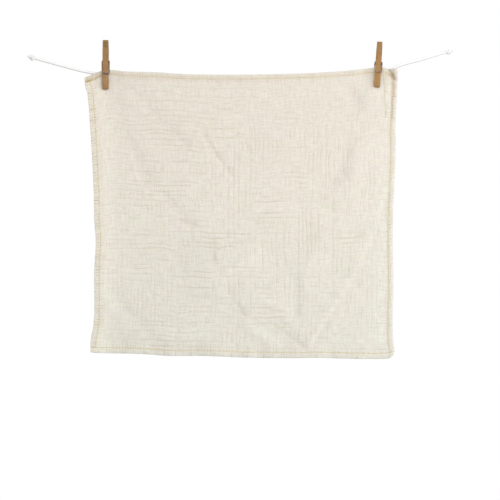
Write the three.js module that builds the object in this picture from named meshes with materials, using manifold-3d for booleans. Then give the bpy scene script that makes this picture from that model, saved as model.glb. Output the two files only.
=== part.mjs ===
// A muslin square hanging from a clothes line, held by two wooden spring pegs.
// Millimetres, +X to the right along the line, +Y away from the front, +Z up.
// Everything is laid out in the line's own frame (X = 0 midway between the pegs, Z = 0 at the
// height of the pegs' notches) and the whole group is then moved so that the left end of the
// line, where it comes out of its knot, is the origin.
import * as THREE from "three";
import { mergeVertices } from "three/addons/utils/BufferGeometryUtils.js";
import Module from "manifold-3d";

const wasm = await Module();
wasm.setup();

// ---- driving dimensions ----

const GAP = 0.3; // between pieces that touch

const HEM_WIDTH = 8.4; // turned twice and stitched
const HEM_STEP = 1; // over which the hem thins to the cloth
const HEM_THICKNESS = 1.6;
const CLOTH_THICKNESS = 1.2; // two layers of crinkled gauze
const CELL = 10.6; // pitch of the cloth's facets away from its edges

const CORD_DIAMETER = 4.4;
const CORD_SIDES = 10;
const CORD_STEPS = 66;
const KNOT_LENGTH = 11;
const KNOT_RADIUS = 5.2;

const PEG_LENGTH = 72.5;
// Width of a lever at each height above the jaw's tip: widest at the jaw, narrowest at the handle.
const LEVER_WIDTH = [
  { up: 0, width: 9.3 },
  { up: 13, width: 9.3 },
  { up: 22, width: 8.7 },
  { up: 58, width: 8.7 },
  { up: PEG_LENGTH, width: 7.8 },
];
const JAW_FACE = HEM_THICKNESS / 2 + GAP; // from the cloth's middle to the wood
const NOTCH = { depth: 1.2, height: 21, radius: 5.2 }; // round notch that takes the line
const SEAT = { height: 39.5, radius: 3.65 }; // round seat of the spring's coil
const WIRE_DIAMETER = 1.5;
const WIRE_SIDES = 8;
const SPRING_STEPS = 88;
const COIL_RADIUS = 2.6; // to the middle of the wire
const COIL_TURNS = 5;
const GROOVE_DEPTH = 1; // of the groove that the spring's arm lies in
const ARM_HEIGHT = 23; // at which the outer face's distance sets where the arms lie
const ARM_REACH = 4.5; // of an arm to each side of the lever's middle
const GRIP_HEIGHTS = [63, 67.6]; // grooves across the grooved handle
const GRIP_RADIUS = 1.1;
const OUTER_LOW = { out: 7.4, up: 13 }; // a lever's outer face, from where the jaw's rounding ends
const OUTER_TOP = { out: 8.5, up: PEG_LENGTH - 1.2 }; // to its bevelled end

// The pegs stand at their notch, on the middle of the cloth. lean tips the handles back and tilt
// tips them to the right, in degrees. The grooved lever faces forward on one and back on the other.
// arm gives the heights of a spring arm's bend beside the lever and of its free end.
const PEGS = [
  { name: "peg_left", x: -200.7, z: 0.7, lean: 0, tilt: 0, gripsInFront: true, arm: [22.5, 23.7] },
  { name: "peg_right", x: 199.1, z: 1, lean: 23, tilt: 4.2, gripsInFront: false, arm: [22.9, 23.1] },
];

// The line's middle, from its left end to its right end, behind the cloth.
const LINE_ROUTE = [
  { x: -304.4, y: 3.3, z: 26 },
  { x: -267, y: 3.3, z: 15.6 },
  { x: -234.6, y: 3.3, z: 7.1 },
  { x: -206, y: 3.3, z: 1.9 },
  { x: -193, y: 3.3, z: 0.7 },
  { x: -100, y: 3.3, z: -0.9 },
  { x: 0, y: 3.3, z: -1.4 },
  { x: 100, y: 3.3, z: -1.3 },
  { x: 193, y: 3.15, z: -0.8 },
  { x: 205.5, y: 3.65, z: 0.6 },
  { x: 214, y: 5.5, z: 5.6 },
  { x: 227.7, y: 7.2, z: 14 },
  { x: 262, y: 7.5, z: 24 },
  { x: 299, y: 8, z: 35.1 },
];

// The cloth's outline as it hangs: each edge from corner to corner.
const TOP_EDGE = [
  { x: -231.7, z: -2.9 },
  { x: -223, z: 0.7 },
  { x: -209.6, z: 6.6 },
  { x: -193.4, z: 8.8 },
  { x: -171.4, z: 6.6 },
  { x: -127, z: 5.3 },
  { x: -83, z: 2.6 },
  { x: -17, z: 1.7 },
  { x: 49, z: 2.5 },
  { x: 115, z: 4.9 },
  { x: 159, z: 7.9 },
  { x: 190, z: 12 },
  { x: 209, z: 12.5 },
  { x: 216, z: 10 },
  { x: 229, z: 12.7 },
];
const LEFT_EDGE = [
  { z: -2.9, x: -231.7 },
  { z: -15, x: -230.8 },
  { z: -26, x: -227.6 },
  { z: -58, x: -224.6 },
  { z: -102, x: -221.7 },
  { z: -168, x: -218.3 },
  { z: -212, x: -217.3 },
  { z: -245, x: -215.2 },
  { z: -290, x: -217.5 },
  { z: -345, x: -217.3 },
  { z: -367, x: -218.8 },
  { z: -388, x: -222.6 },
  { z: -406, x: -223 },
];
const RIGHT_EDGE = [
  { z: 12.7, x: 229 },
  { z: -7, x: 228.9 },
  { z: -36, x: 227 },
  { z: -80, x: 225.2 },
  { z: -102, x: 225.8 },
  { z: -146, x: 224.5 },
  { z: -190, x: 222.4 },
  { z: -234, x: 221.4 },
  { z: -300, x: 222.3 },
  { z: -367, x: 221.2 },
  { z: -389, x: 222.1 },
  { z: -404, x: 223.9 },
  { z: -411.5, x: 221.5 },
];
const BOTTOM_EDGE = [
  { x: -223, z: -406 },
  { x: -218, z: -407.2 },
  { x: -149, z: -408.8 },
  { x: -105, z: -411.7 },
  { x: -61, z: -411.6 },
  { x: 5, z: -414.1 },
  { x: 71, z: -414.9 },
  { x: 115, z: -414.5 },
  { x: 159, z: -415.9 },
  { x: 209, z: -416 },
  { x: 216, z: -415 },
  { x: 221.5, z: -411.5 },
];

// Main folds: each is a soft trough (rise below 0) or ridge (rise above 0) along a straight run,
// from its start to its end, with its half width. rise is towards the front.
const FOLDS = [
  { x0: -164, z0: -21, x1: -83, z1: -102, rise: -2.4, half: 9 },
  { x0: -171, z0: -87, x1: -142, z1: -149, rise: -2, half: 8 },
  { x0: -58, z0: -87, x1: -17, z1: -146, rise: -1.6, half: 5 },
  { x0: -117, z0: -176, x1: -73, z1: -220, rise: -2, half: 8 },
  { x0: -77, z0: -242, x1: -55, z1: -330, rise: -2.2, half: 13 },
  { x0: -24, z0: -315, x1: -2, z1: -345, rise: -1.6, half: 7 },
  { x0: -193, z0: -315, x1: -132, z1: -384, rise: -3, half: 12 },
  { x0: 78, z0: -300, x1: 78, z1: -352, rise: -2, half: 8 },
  { x0: 30, z0: -345, x1: 86, z1: -392, rise: -2.4, half: 9 },
  { x0: 5, z0: -367, x1: 56, z1: -396, rise: 3, half: 10 },
  { x0: 152, z0: -117, x1: 130, z1: -198, rise: -3, half: 10 },
  { x0: 130, z0: -198, x1: 93, z1: -256, rise: -2.6, half: 10 },
  { x0: 214, z0: -168, x1: 170, z1: -280, rise: 4, half: 16 },
  { x0: 170, z0: -280, x1: 101, z1: -392, rise: 4, half: 16 },
];
// Where the top right corner turns forward past the peg: a narrow pocket and the flap beside it.
const CORNER_FOLDS = [
  { x0: 217, z0: 9, x1: 223, z1: -6, rise: -1, half: 2.5 },
  { x0: 223, z0: 13, x1: 228, z1: -4, rise: 4.5, half: 3.5 },
];
const BELLY = 2.5; // how far the cloth stands forward of the line between and beside the pegs

// The cloth lies flat in each peg's jaws and eases out of them.
const CLAMP = { flat: 12, soft: 40, bottom: -23, softBottom: -100 };

// ---- materials ----

const MUSLIN = new THREE.MeshStandardMaterial({ color: 0xeae2d4, roughness: 0.95 });
const CORD = new THREE.MeshStandardMaterial({ color: 0xf6f5f1, roughness: 0.9 });
const WOOD = new THREE.MeshStandardMaterial({ color: 0xb0875a, roughness: 0.65 });
const WIRE = new THREE.MeshStandardMaterial({ color: 0x8d8f92, roughness: 0.35, metalness: 1 });

// ---- helpers ----

// 1 up to start, 0 from end on, and a smooth step between.
const fadeOut = (value, start, end) => 1 - THREE.MathUtils.smoothstep(value, start, end);

// The value of a table's column at a place along its key column, as a smooth curve through the
// rows: cubic pieces whose slopes at each row are those of the chord between its neighbours.
function tableAt(rows, key, column, place) {
  const rising = rows.at(-1)[key] > rows[0][key];
  let i = rows.findIndex((row) => (rising ? row[key] > place : row[key] < place)) - 1;
  i = i < 0 ? (i === -2 ? rows.length - 2 : 0) : i;
  const slope = (k) => {
    const before = rows[Math.max(k - 1, 0)];
    const after = rows[Math.min(k + 1, rows.length - 1)];
    return (after[column] - before[column]) / (after[key] - before[key]);
  };
  const span = rows[i + 1][key] - rows[i][key];
  const t = THREE.MathUtils.clamp((place - rows[i][key]) / span, 0, 1);
  const t2 = t * t;
  const t3 = t2 * t;
  return (
    (2 * t3 - 3 * t2 + 1) * rows[i][column] +
    (t3 - 2 * t2 + t) * span * slope(i) +
    (3 * t2 - 2 * t3) * rows[i + 1][column] +
    (t3 - t2) * span * slope(i + 1)
  );
}

// A closed geometry as a manifold solid, and back.
function toSolid(geometry) {
  const bare = geometry.clone();
  bare.deleteAttribute("normal");
  bare.deleteAttribute("uv");
  const merged = mergeVertices(bare, 1e-4);
  const vertProperties = merged.attributes.position.array;
  const triVerts = new Uint32Array(merged.index.array);
  return new wasm.Manifold(new wasm.Mesh({ numProp: 3, vertProperties, triVerts }));
}

function fromSolid(solid) {
  const { vertProperties, triVerts } = solid.getMesh();
  const geometry = new THREE.BufferGeometry();
  geometry.setAttribute("position", new THREE.BufferAttribute(vertProperties, 3));
  geometry.setIndex(new THREE.BufferAttribute(triVerts, 1));
  geometry.computeVertexNormals();
  return geometry;
}

// A round bar along a smooth curve through the points, closed at both ends.
function roundBar(points, radius, sides, steps) {
  const section = new THREE.Shape();
  for (let i = 0; i < sides; i++) {
    const angle = (2 * Math.PI * i) / sides;
    const x = radius * Math.cos(angle);
    const y = radius * Math.sin(angle);
    if (i === 0) section.moveTo(x, y);
    else section.lineTo(x, y);
  }
  section.closePath();
  const path = new THREE.CatmullRomCurve3(points, false, "centripetal");
  return new THREE.ExtrudeGeometry(section, { steps, bevelEnabled: false, extrudePath: path });
}

// ---- cloth ----

// The outline's four edges, blended across the square: across and down run from 0 to 1.
function outlinePoint(across, down) {
  const topLeft = TOP_EDGE[0];
  const topRight = TOP_EDGE.at(-1);
  const bottomLeft = BOTTOM_EDGE[0];
  const bottomRight = BOTTOM_EDGE.at(-1);
  const mix = THREE.MathUtils.lerp;
  const topX = mix(topLeft.x, topRight.x, across);
  const bottomX = mix(bottomLeft.x, bottomRight.x, across);
  const leftZ = mix(topLeft.z, bottomLeft.z, down);
  const rightZ = mix(topRight.z, bottomRight.z, down);
  const edges = {
    top: { x: topX, z: tableAt(TOP_EDGE, "x", "z", topX) },
    bottom: { x: bottomX, z: tableAt(BOTTOM_EDGE, "x", "z", bottomX) },
    left: { x: tableAt(LEFT_EDGE, "z", "x", leftZ), z: leftZ },
    right: { x: tableAt(RIGHT_EDGE, "z", "x", rightZ), z: rightZ },
  };
  const blend = (axis) =>
    mix(edges.top[axis], edges.bottom[axis], down) +
    mix(edges.left[axis], edges.right[axis], across) -
    mix(
      mix(topLeft[axis], topRight[axis], across),
      mix(bottomLeft[axis], bottomRight[axis], across),
      down,
    );
  return { x: blend("x"), z: blend("z") };
}

// How far a fold brings the cloth forward at a place: a rounded section that dies away at its ends.
function foldRise(fold, x, z) {
  const along = new THREE.Vector2(fold.x1 - fold.x0, fold.z1 - fold.z0);
  const length = along.length();
  along.divideScalar(length);
  const run = (x - fold.x0) * along.x + (z - fold.z0) * along.y;
  const side = (x - fold.x0) * along.y - (z - fold.z0) * along.x;
  const beyond = Math.max(0, -run, run - length);
  return fold.rise * Math.exp(-(side * side + beyond * beyond) / (fold.half * fold.half));
}

// 1 in a peg's jaws, falling to 0 away from them.
const heldBy = (peg, x, z) =>
  fadeOut(Math.abs(x - peg.x), CLAMP.flat, CLAMP.soft) *
  fadeOut(-z, -CLAMP.bottom, -CLAMP.softBottom);

// Depth of the cloth's middle: free cloth stands a little forward of the line and has the folds,
// and cloth in a peg's jaws lies in the plane between them.
function clothDepth(x, z) {
  const rises = [...FOLDS, ...CORNER_FOLDS].map((fold) => foldRise(fold, x, z));
  let depth = -BELLY - rises.reduce((sum, rise) => sum + rise, 0);
  for (const peg of PEGS) {
    const slope = Math.tan(THREE.MathUtils.degToRad(peg.lean));
    const jawPlane = slope * (Math.max(z, CLAMP.bottom) - peg.z);
    depth = THREE.MathUtils.lerp(depth, jawPlane, heldBy(peg, x, z));
  }
  return depth;
}

// Fractions of a length: lines at given distances from either end and even cells between.
function gridLines(length, fromStart, fromEnd) {
  const first = fromStart.at(-1);
  const last = length - fromEnd.at(-1);
  const cells = Math.round((last - first) / CELL);
  const even = Array.from({ length: cells - 1 }, (_, i) => first + ((last - first) * (i + 1)) / cells);
  const ends = fromEnd.map((distance) => length - distance).reverse();
  return [...fromStart, ...even, ...ends].map((place) => place / length);
}

function clothGeometry() {
  const width = TOP_EDGE.at(-1).x - TOP_EDGE[0].x;
  const height = TOP_EDGE[0].z - BOTTOM_EDGE[0].z;
  const hem = [0, HEM_WIDTH, HEM_WIDTH + HEM_STEP];
  const columns = gridLines(width, [...hem, 21, 32, 43], [0, 4.2, ...hem.slice(1), 13, 18, 29.3, 41]);
  const rows = gridLines(height, [...hem, 15, 21, 27, 33, 39], hem);
  const across = columns.length;
  const down = rows.length;
  const edgeOfHem = HEM_WIDTH + HEM_STEP / 2;
  const positions = [];
  const faces = [];
  for (const side of [-1, 1]) {
    rows.forEach((v, j) => {
      columns.forEach((u, i) => {
        const { x, z } = outlinePoint(u, v);
        const inHem = Math.min(u, 1 - u) * width < edgeOfHem || Math.min(v, 1 - v) * height < edgeOfHem;
        const thickness = inHem ? HEM_THICKNESS : CLOTH_THICKNESS;
        positions.push(x, clothDepth(x, z) + (side * thickness) / 2, z);
      });
    });
  }
  const back = across * down;
  const quad = (a, b, c, d) => faces.push(a, b, c, a, c, d);
  for (let j = 0; j < down - 1; j++) {
    for (let i = 0; i < across - 1; i++) {
      const a = j * across + i;
      quad(a, a + across, a + across + 1, a + 1);
      quad(back + a, back + a + 1, back + a + across + 1, back + a + across);
    }
  }
  for (let i = 0; i < across - 1; i++) {
    const low = (down - 1) * across + i;
    quad(i, i + 1, back + i + 1, back + i);
    quad(low + 1, low, back + low, back + low + 1);
  }
  for (let j = 0; j < down - 1; j++) {
    const left = j * across;
    const right = left + across - 1;
    quad(left + across, left, back + left, back + left + across);
    quad(right, right + across, back + right + across, back + right);
  }
  const geometry = new THREE.BufferGeometry();
  geometry.setAttribute("position", new THREE.Float32BufferAttribute(positions, 3));
  geometry.setIndex(faces);
  geometry.computeVertexNormals();
  return geometry;
}

// ---- line ----

function knotMesh(name, end, inward) {
  const profile = [];
  const rings = 8;
  for (let i = 0; i <= rings; i++) {
    const angle = (Math.PI * i) / rings;
    profile.push(new THREE.Vector2(
      i % rings ? KNOT_RADIUS * Math.sin(angle) ** 0.8 : 0,
      (-KNOT_LENGTH / 2) * Math.cos(angle),
    ));
  }
  const knot = new THREE.Mesh(new THREE.LatheGeometry(profile, 14), CORD);
  const outward = end.clone().sub(inward).normalize();
  knot.name = name;
  knot.quaternion.setFromUnitVectors(new THREE.Vector3(0, 1, 0), outward);
  knot.position.copy(end).addScaledVector(outward, KNOT_LENGTH / 2 + GAP);
  return knot;
}

function lineMeshes() {
  const points = LINE_ROUTE.map(({ x, y, z }) => new THREE.Vector3(x, y, z));
  const geometry = roundBar(points, CORD_DIAMETER / 2, CORD_SIDES, CORD_STEPS);
  const line = new THREE.Mesh(geometry, CORD);
  line.name = "line";
  return [
    line,
    knotMesh("line_knot_left", points[0], points[1]),
    knotMesh("line_knot_right", points.at(-1), points.at(-2)),
  ];
}

// ---- pegs ----

// How far a lever's straight outer face is from the cloth's middle.
const outerAt = (up) =>
  THREE.MathUtils.mapLinear(up, OUTER_LOW.up, OUTER_TOP.up, OUTER_LOW.out, OUTER_TOP.out);

// Side view of one lever: the first number is the distance from the cloth's middle, the second the
// height above the jaw's tip. It runs up the rounded outer face and back down the inner one.
function leverProfile(grooved) {
  const profile = new THREE.Shape();
  profile.moveTo(2.3, 0);
  profile.lineTo(3.4, 0);
  profile.quadraticCurveTo(6.6, 2, OUTER_LOW.out, OUTER_LOW.up);
  for (const { up } of LEVER_WIDTH.slice(2, -1)) profile.lineTo(outerAt(up), up);
  if (grooved) {
    for (const up of GRIP_HEIGHTS) {
      profile.lineTo(outerAt(up - GRIP_RADIUS), up - GRIP_RADIUS);
      profile.absarc(outerAt(up), up, GRIP_RADIUS, -Math.PI / 2, Math.PI / 2, true);
    }
  }
  profile.lineTo(OUTER_TOP.out, OUTER_TOP.up);
  profile.lineTo(OUTER_TOP.out - (PEG_LENGTH - OUTER_TOP.up), PEG_LENGTH);
  profile.lineTo(3.8, PEG_LENGTH);
  profile.lineTo(THREE.MathUtils.mapLinear(58, SEAT.height + 5, PEG_LENGTH, JAW_FACE, 3.8), 58);
  profile.lineTo(JAW_FACE, SEAT.height + 5);
  const seatAngle = Math.acos(JAW_FACE / SEAT.radius);
  profile.absarc(0, SEAT.height, SEAT.radius, seatAngle, -seatAngle, true);
  const notchAngle = Math.acos((JAW_FACE - NOTCH.depth) / NOTCH.radius);
  profile.absarc(NOTCH.depth, NOTCH.height, NOTCH.radius, notchAngle, -notchAngle, true);
  profile.lineTo(JAW_FACE, LEVER_WIDTH[1].up);
  profile.lineTo(JAW_FACE, 2.6);
  profile.closePath();
  return profile;
}

// A lever's width at a height above the jaw's tip.
function leverWidth(up) {
  const above = Math.max(1, LEVER_WIDTH.findIndex((row) => up <= row.up + 1e-6));
  const [low, high] = [LEVER_WIDTH[above - 1], LEVER_WIDTH[above]];
  return THREE.MathUtils.mapLinear(up, low.up, high.up, low.width, high.width);
}

// The uncut lever: its profile with the sides drawn in to its width at each height.
function leverBlank(grooved) {
  const blank = new THREE.ExtrudeGeometry(leverProfile(grooved), {
    depth: 1,
    bevelEnabled: false,
    curveSegments: 10,
  });
  const position = blank.getAttribute("position");
  for (let i = 0; i < position.count; i++) {
    position.setZ(i, (position.getZ(i) - 0.5) * leverWidth(position.getY(i)));
  }
  return blank;
}

// The spring's arm across a lever's outer face, as [across, out, up], from its free end to its bend.
// side is 1 where the bend is on the right and -1 where it is on the left.
function armPoints(out, side, [bend, free]) {
  return [-1, -0.5, 0, 0.5, 0.97].map((share) => {
    const up = THREE.MathUtils.mapLinear(share, -1, 1, free, bend);
    return [side * share * ARM_REACH, out, up];
  });
}

// The spring from the free end of its back arm, round the coil, to the free end of its front arm.
// The arms leave the coil along tangents, one on each side of the wood.
function springPoints(armOut, arm) {
  const side = leverWidth(SEAT.height) / 2 + GAP + WIRE_DIAMETER / 2 + 0.05;
  const bend = arm[0] + 0.8;
  const drop = SEAT.height - bend;
  const reach = Math.hypot(armOut, drop);
  const leave = Math.PI + Math.atan2(drop, armOut) - Math.acos(COIL_RADIUS / reach);
  const first = Math.PI - leave;
  const last = leave + 2 * Math.PI * COIL_TURNS;
  const steps = COIL_TURNS * 10 + 4;
  const coil = Array.from({ length: steps + 1 }, (_, i) => {
    const angle = THREE.MathUtils.lerp(first, last, i / steps);
    const across = THREE.MathUtils.lerp(-side, side, i / steps);
    return [across, COIL_RADIUS * Math.cos(angle), SEAT.height + COIL_RADIUS * Math.sin(angle)];
  });
  const legs = [0.35, 0.7, 0.94];
  const frontEnd = [side, -armOut, bend];
  const frontLeg = legs.map((t) => coil.at(-1).map((c, k) => THREE.MathUtils.lerp(c, frontEnd[k], t)));
  const backEnd = [-side, armOut, bend];
  const backLeg = legs.map((t) => coil[0].map((c, k) => THREE.MathUtils.lerp(c, backEnd[k], t))).reverse();
  const frontArm = armPoints(-armOut, 1, arm).reverse();
  const backArm = armPoints(armOut, -1, arm);
  const points = [...backArm, ...backLeg, ...coil, ...frontLeg, ...frontArm];
  return points.map(([across, out, up]) => new THREE.Vector3(across, out, up));
}

function pegGroup(spec) {
  const armOut = outerAt(ARM_HEIGHT) - GROOVE_DEPTH + GAP + WIRE_DIAMETER / 2;
  const route = springPoints(armOut, spec.arm);
  const inner = new THREE.Group();
  for (const facing of ["front", "back"]) {
    const towards = facing === "front" ? -1 : 1;
    const blank = leverBlank((facing === "front") === spec.gripsInFront);
    blank.applyMatrix4(new THREE.Matrix4().makeBasis(
      new THREE.Vector3(0, towards, 0),
      new THREE.Vector3(0, 0, 1),
      new THREE.Vector3(towards, 0, 0),
    ));
    // The groove follows the arm from past its free end, round the bend and up the leg's foot.
    const track = facing === "front" ? route.slice(-7).reverse() : route.slice(0, 7);
    track.unshift(track[0].clone().multiplyScalar(2).sub(track[1]));
    const groove = roundBar(track, WIRE_DIAMETER / 2 + 1.9 * GAP, WIRE_SIDES, 18);
    const lever = new THREE.Mesh(fromSolid(toSolid(blank).subtract(toSolid(groove))), WOOD);
    lever.name = `${spec.name}_${facing}`;
    inner.add(lever);
  }
  const wire = roundBar(route, WIRE_DIAMETER / 2, WIRE_SIDES, SPRING_STEPS);
  const spring = new THREE.Mesh(wire, WIRE);
  spring.name = `${spec.name}_spring`;
  inner.add(spring);
  for (const mesh of inner.children) mesh.position.z = -NOTCH.height;
  inner.rotation.y = THREE.MathUtils.degToRad(spec.tilt);
  const outer = new THREE.Group();
  outer.rotation.x = -THREE.MathUtils.degToRad(spec.lean);
  outer.position.set(spec.x, 0, spec.z);
  outer.add(inner);
  return outer;
}

// ---- assembly ----

const layout = new THREE.Group();
const cloth = new THREE.Mesh(clothGeometry(), MUSLIN);
cloth.name = "cloth";
layout.add(cloth, ...lineMeshes(), ...PEGS.map(pegGroup));
layout.position.set(-LINE_ROUTE[0].x, -LINE_ROUTE[0].y, -LINE_ROUTE[0].z);

const muslinSquare = new THREE.Group();
muslinSquare.add(layout);

export default muslinSquare;
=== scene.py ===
"""Looks of a muslin square that hangs from a clothes line by two wooden spring pegs.

Sizes are in millimetres in the line's own layout, as in the part's source (X = 0 midway between
the pegs, Y away from the front, Z = 0 at the height of the pegs' notches), and to_frame() turns
them into the part's frame in metres, whose origin is the left end of the line.
"""

import math

import bmesh
import bpy
import numpy as np
from mathutils import Matrix, Vector


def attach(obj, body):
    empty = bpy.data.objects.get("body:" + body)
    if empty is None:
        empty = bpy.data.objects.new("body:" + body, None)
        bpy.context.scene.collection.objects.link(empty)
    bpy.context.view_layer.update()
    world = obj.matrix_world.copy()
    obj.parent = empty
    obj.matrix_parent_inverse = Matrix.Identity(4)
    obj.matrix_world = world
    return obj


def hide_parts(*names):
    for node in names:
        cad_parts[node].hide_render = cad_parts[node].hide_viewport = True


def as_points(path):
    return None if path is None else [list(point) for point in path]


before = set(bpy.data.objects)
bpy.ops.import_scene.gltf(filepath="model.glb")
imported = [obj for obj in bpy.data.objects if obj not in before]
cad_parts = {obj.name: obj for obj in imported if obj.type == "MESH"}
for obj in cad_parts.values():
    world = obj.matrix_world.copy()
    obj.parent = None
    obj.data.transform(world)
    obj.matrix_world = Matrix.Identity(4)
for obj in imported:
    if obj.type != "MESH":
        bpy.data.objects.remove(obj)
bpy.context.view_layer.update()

MM = 0.001
SCENE = bpy.context.scene

# ---- shared layout, as in the part's source ----

# The line's middle, from its left end to its right end, behind the cloth.
LINE_ROUTE = np.array([
    [-304.4, 3.3, 26.0],
    [-267.0, 3.3, 15.6],
    [-234.6, 3.3, 7.1],
    [-206.0, 3.3, 1.9],
    [-193.0, 3.3, 0.7],
    [-100.0, 3.3, -0.9],
    [0.0, 3.3, -1.4],
    [100.0, 3.3, -1.3],
    [193.0, 3.15, -0.8],
    [205.5, 3.65, 0.6],
    [214.0, 5.5, 5.6],
    [227.7, 7.2, 14.0],
    [262.0, 7.5, 24.0],
    [299.0, 8.0, 35.1],
])
CORD_DIAMETER = 4.4

GAP = 0.3
PEG_LENGTH = 72.5
JAW_WIDTH = 9.3
WAIST_WIDTH = 8.7
NOTCH_HEIGHT = 21.0
SEAT_HEIGHT = 39.5
OUTER_LOW = (7.4, 13.0)  # distance from the cloth's middle and height, at the foot of the outer face
OUTER_TOP = (8.5, PEG_LENGTH - 1.2)
WIRE_DIAMETER = 1.5
COIL_RADIUS = 2.6
COIL_TURNS = 5
ARM_HEIGHT = 23.0
ARM_REACH = 4.5
GROOVE_DEPTH = 1.0
# lean tips the handles back and tilt tips them to the right, in degrees. arm gives the heights of a
# spring arm's bend beside the lever and of its free end.
PEGS = [
    {"name": "peg_left", "x": -200.7, "z": 0.7, "lean": 0.0, "tilt": 0.0, "arm": (22.5, 23.7)},
    {"name": "peg_right", "x": 199.1, "z": 1.0, "lean": 23.0, "tilt": 4.2, "arm": (22.9, 23.1)},
]

# The cloth's outline as it hangs: each edge from corner to corner, as (place, value) rows.
TOP_EDGE = [
    (-231.7, -2.9), (-223, 0.7), (-209.6, 6.6), (-193.4, 8.8), (-171.4, 6.6), (-127, 5.3),
    (-83, 2.6), (-17, 1.7), (49, 2.5), (115, 4.9), (159, 7.9), (190, 12), (209, 12.5),
    (216, 10), (229, 12.7),
]  # z at each x
LEFT_EDGE = [
    (-2.9, -231.7), (-15, -230.8), (-26, -227.6), (-58, -224.6), (-102, -221.7),
    (-168, -218.3), (-212, -217.3), (-245, -215.2), (-290, -217.5), (-345, -217.3),
    (-367, -218.8), (-388, -222.6), (-406, -223),
]  # x at each z
RIGHT_EDGE = [
    (12.7, 229), (-7, 228.9), (-36, 227), (-80, 225.2), (-102, 225.8), (-146, 224.5),
    (-190, 222.4), (-234, 221.4), (-300, 222.3), (-367, 221.2), (-389, 222.1), (-404, 223.9),
    (-411.5, 221.5),
]  # x at each z
BOTTOM_EDGE = [
    (-223, -406), (-218, -407.2), (-149, -408.8), (-105, -411.7), (-61, -411.6), (5, -414.1),
    (71, -414.9), (115, -414.5), (159, -415.9), (209, -416), (216, -415), (221.5, -411.5),
]  # z at each x

# Main folds, as (x0, z0, x1, z1, rise, half width): soft ridges, or troughs where rise is negative.
FOLDS = [
    (-164, -21, -83, -102, -2.4, 9), (-171, -87, -142, -149, -2, 8), (-58, -87, -17, -146, -1.6, 5),
    (-117, -176, -73, -220, -2, 8), (-77, -242, -55, -330, -2.2, 13), (-24, -315, -2, -345, -1.6, 7),
    (-193, -315, -132, -384, -3, 12), (78, -300, 78, -352, -2, 8), (30, -345, 86, -392, -2.4, 9),
    (5, -367, 56, -396, 3, 10), (152, -117, 130, -198, -3, 10), (130, -198, 93, -256, -2.6, 10),
    (214, -168, 170, -280, 4, 16), (170, -280, 101, -392, 4, 16), (217, 9, 223, -6, -1, 2.5),
    (223, 13, 228, -4, 4.5, 3.5),
]
FOLD_SHARE = 0.55  # of a fold's rise in the part's source: gauze rounds its folds off
BELLY = 2.5
CLAMP_FLAT, CLAMP_SOFT = 12.0, 40.0
CLAMP_BOTTOM, CLAMP_SOFT_BOTTOM = -23.0, -100.0


def to_frame(points):
    """Layout millimetres to the part's frame in metres."""
    return (np.asarray(points, float) - LINE_ROUTE[0]) * MM


def link_object(name, data):
    """A new object in the scene that holds this mesh, curve, camera or light."""
    thing = bpy.data.objects.new(name, data)
    SCENE.collection.objects.link(thing)
    return thing


# ---- camera ----

VIEW_WIDTH = 735.0  # what the picture takes in at the cloth
CAMERA_DISTANCE = 5000.0
CAMERA_AIM = (11.5, -256.0)  # x and z


def make_camera():
    data = bpy.data.cameras.new("camera")
    data.sensor_width = 36.0
    data.lens = data.sensor_width * CAMERA_DISTANCE / VIEW_WIDTH
    camera = link_object("camera", data)
    camera.location = to_frame((CAMERA_AIM[0], -CAMERA_DISTANCE, CAMERA_AIM[1]))
    camera.rotation_euler = (math.radians(90), 0, 0)
    SCENE.camera = camera


make_camera()

# ---- helpers ----

NOISE_TABLE = 128  # random values each way, before the noise repeats


def mesh_object(name, points, faces):
    """A smooth mesh object from layout points in millimetres."""
    mesh = bpy.data.meshes.new(name)
    mesh.from_pydata(to_frame(points).tolist(), [], faces)
    mesh.polygons.foreach_set("use_smooth", [True] * len(mesh.polygons))
    mesh.update()
    return link_object(name, mesh)


def joined(name, bodies):
    """One mesh object from several bodies, each given by its points and faces."""
    points, faces, first = [], [], 0
    for more, found, *_ in bodies:
        points.append(more)
        faces += [tuple(first + i for i in face) for face in found]
        first += len(more)
    return mesh_object(name, np.vstack(points), faces)


def set_attribute(piece, name, values):
    """Stores a number or a vector at each point of a piece's mesh."""
    values = np.asarray(values, np.float32).reshape(len(piece.data.vertices), -1)
    kind, slot = ("FLOAT", "value") if values.shape[1] == 1 else ("FLOAT_VECTOR", "vector")
    layer = piece.data.attributes.new(name, kind, "POINT")
    layer.data.foreach_set(slot, values.reshape(-1))


def mix(first, second, share):
    """The first value with so much of it replaced by the second."""
    return first + (second - first) * share


def smooth_step(value, start, end):
    """0 up to start, 1 from end on, and a smooth step between."""
    t = np.clip((np.asarray(value, float) - start) / (end - start), 0, 1)
    return t * t * (3 - 2 * t)


def bell(off, half):
    """1 at 0, falling away on both sides, to 1 / e at half."""
    return np.exp(-((off / half) ** 2))


def table_at(rows, place):
    """A table's value at each place, as cubic pieces with the slopes of the neighbours' chords."""
    key, value = np.array(sorted(rows), float).T
    keys, values = np.pad(key, 1, mode="edge"), np.pad(value, 1, mode="edge")
    slope = (values[2:] - values[:-2]) / (keys[2:] - keys[:-2])
    i = np.clip(np.searchsorted(key, place) - 1, 0, len(key) - 2)
    span = key[i + 1] - key[i]
    t = np.clip((place - key[i]) / span, 0, 1)
    t2, t3 = t * t, t * t * t
    return (
        (2 * t3 - 3 * t2 + 1) * value[i]
        + (t3 - 2 * t2 + t) * span * slope[i]
        + (3 * t2 - 2 * t3) * value[i + 1]
        + (t3 - t2) * span * slope[i + 1]
    )


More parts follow.
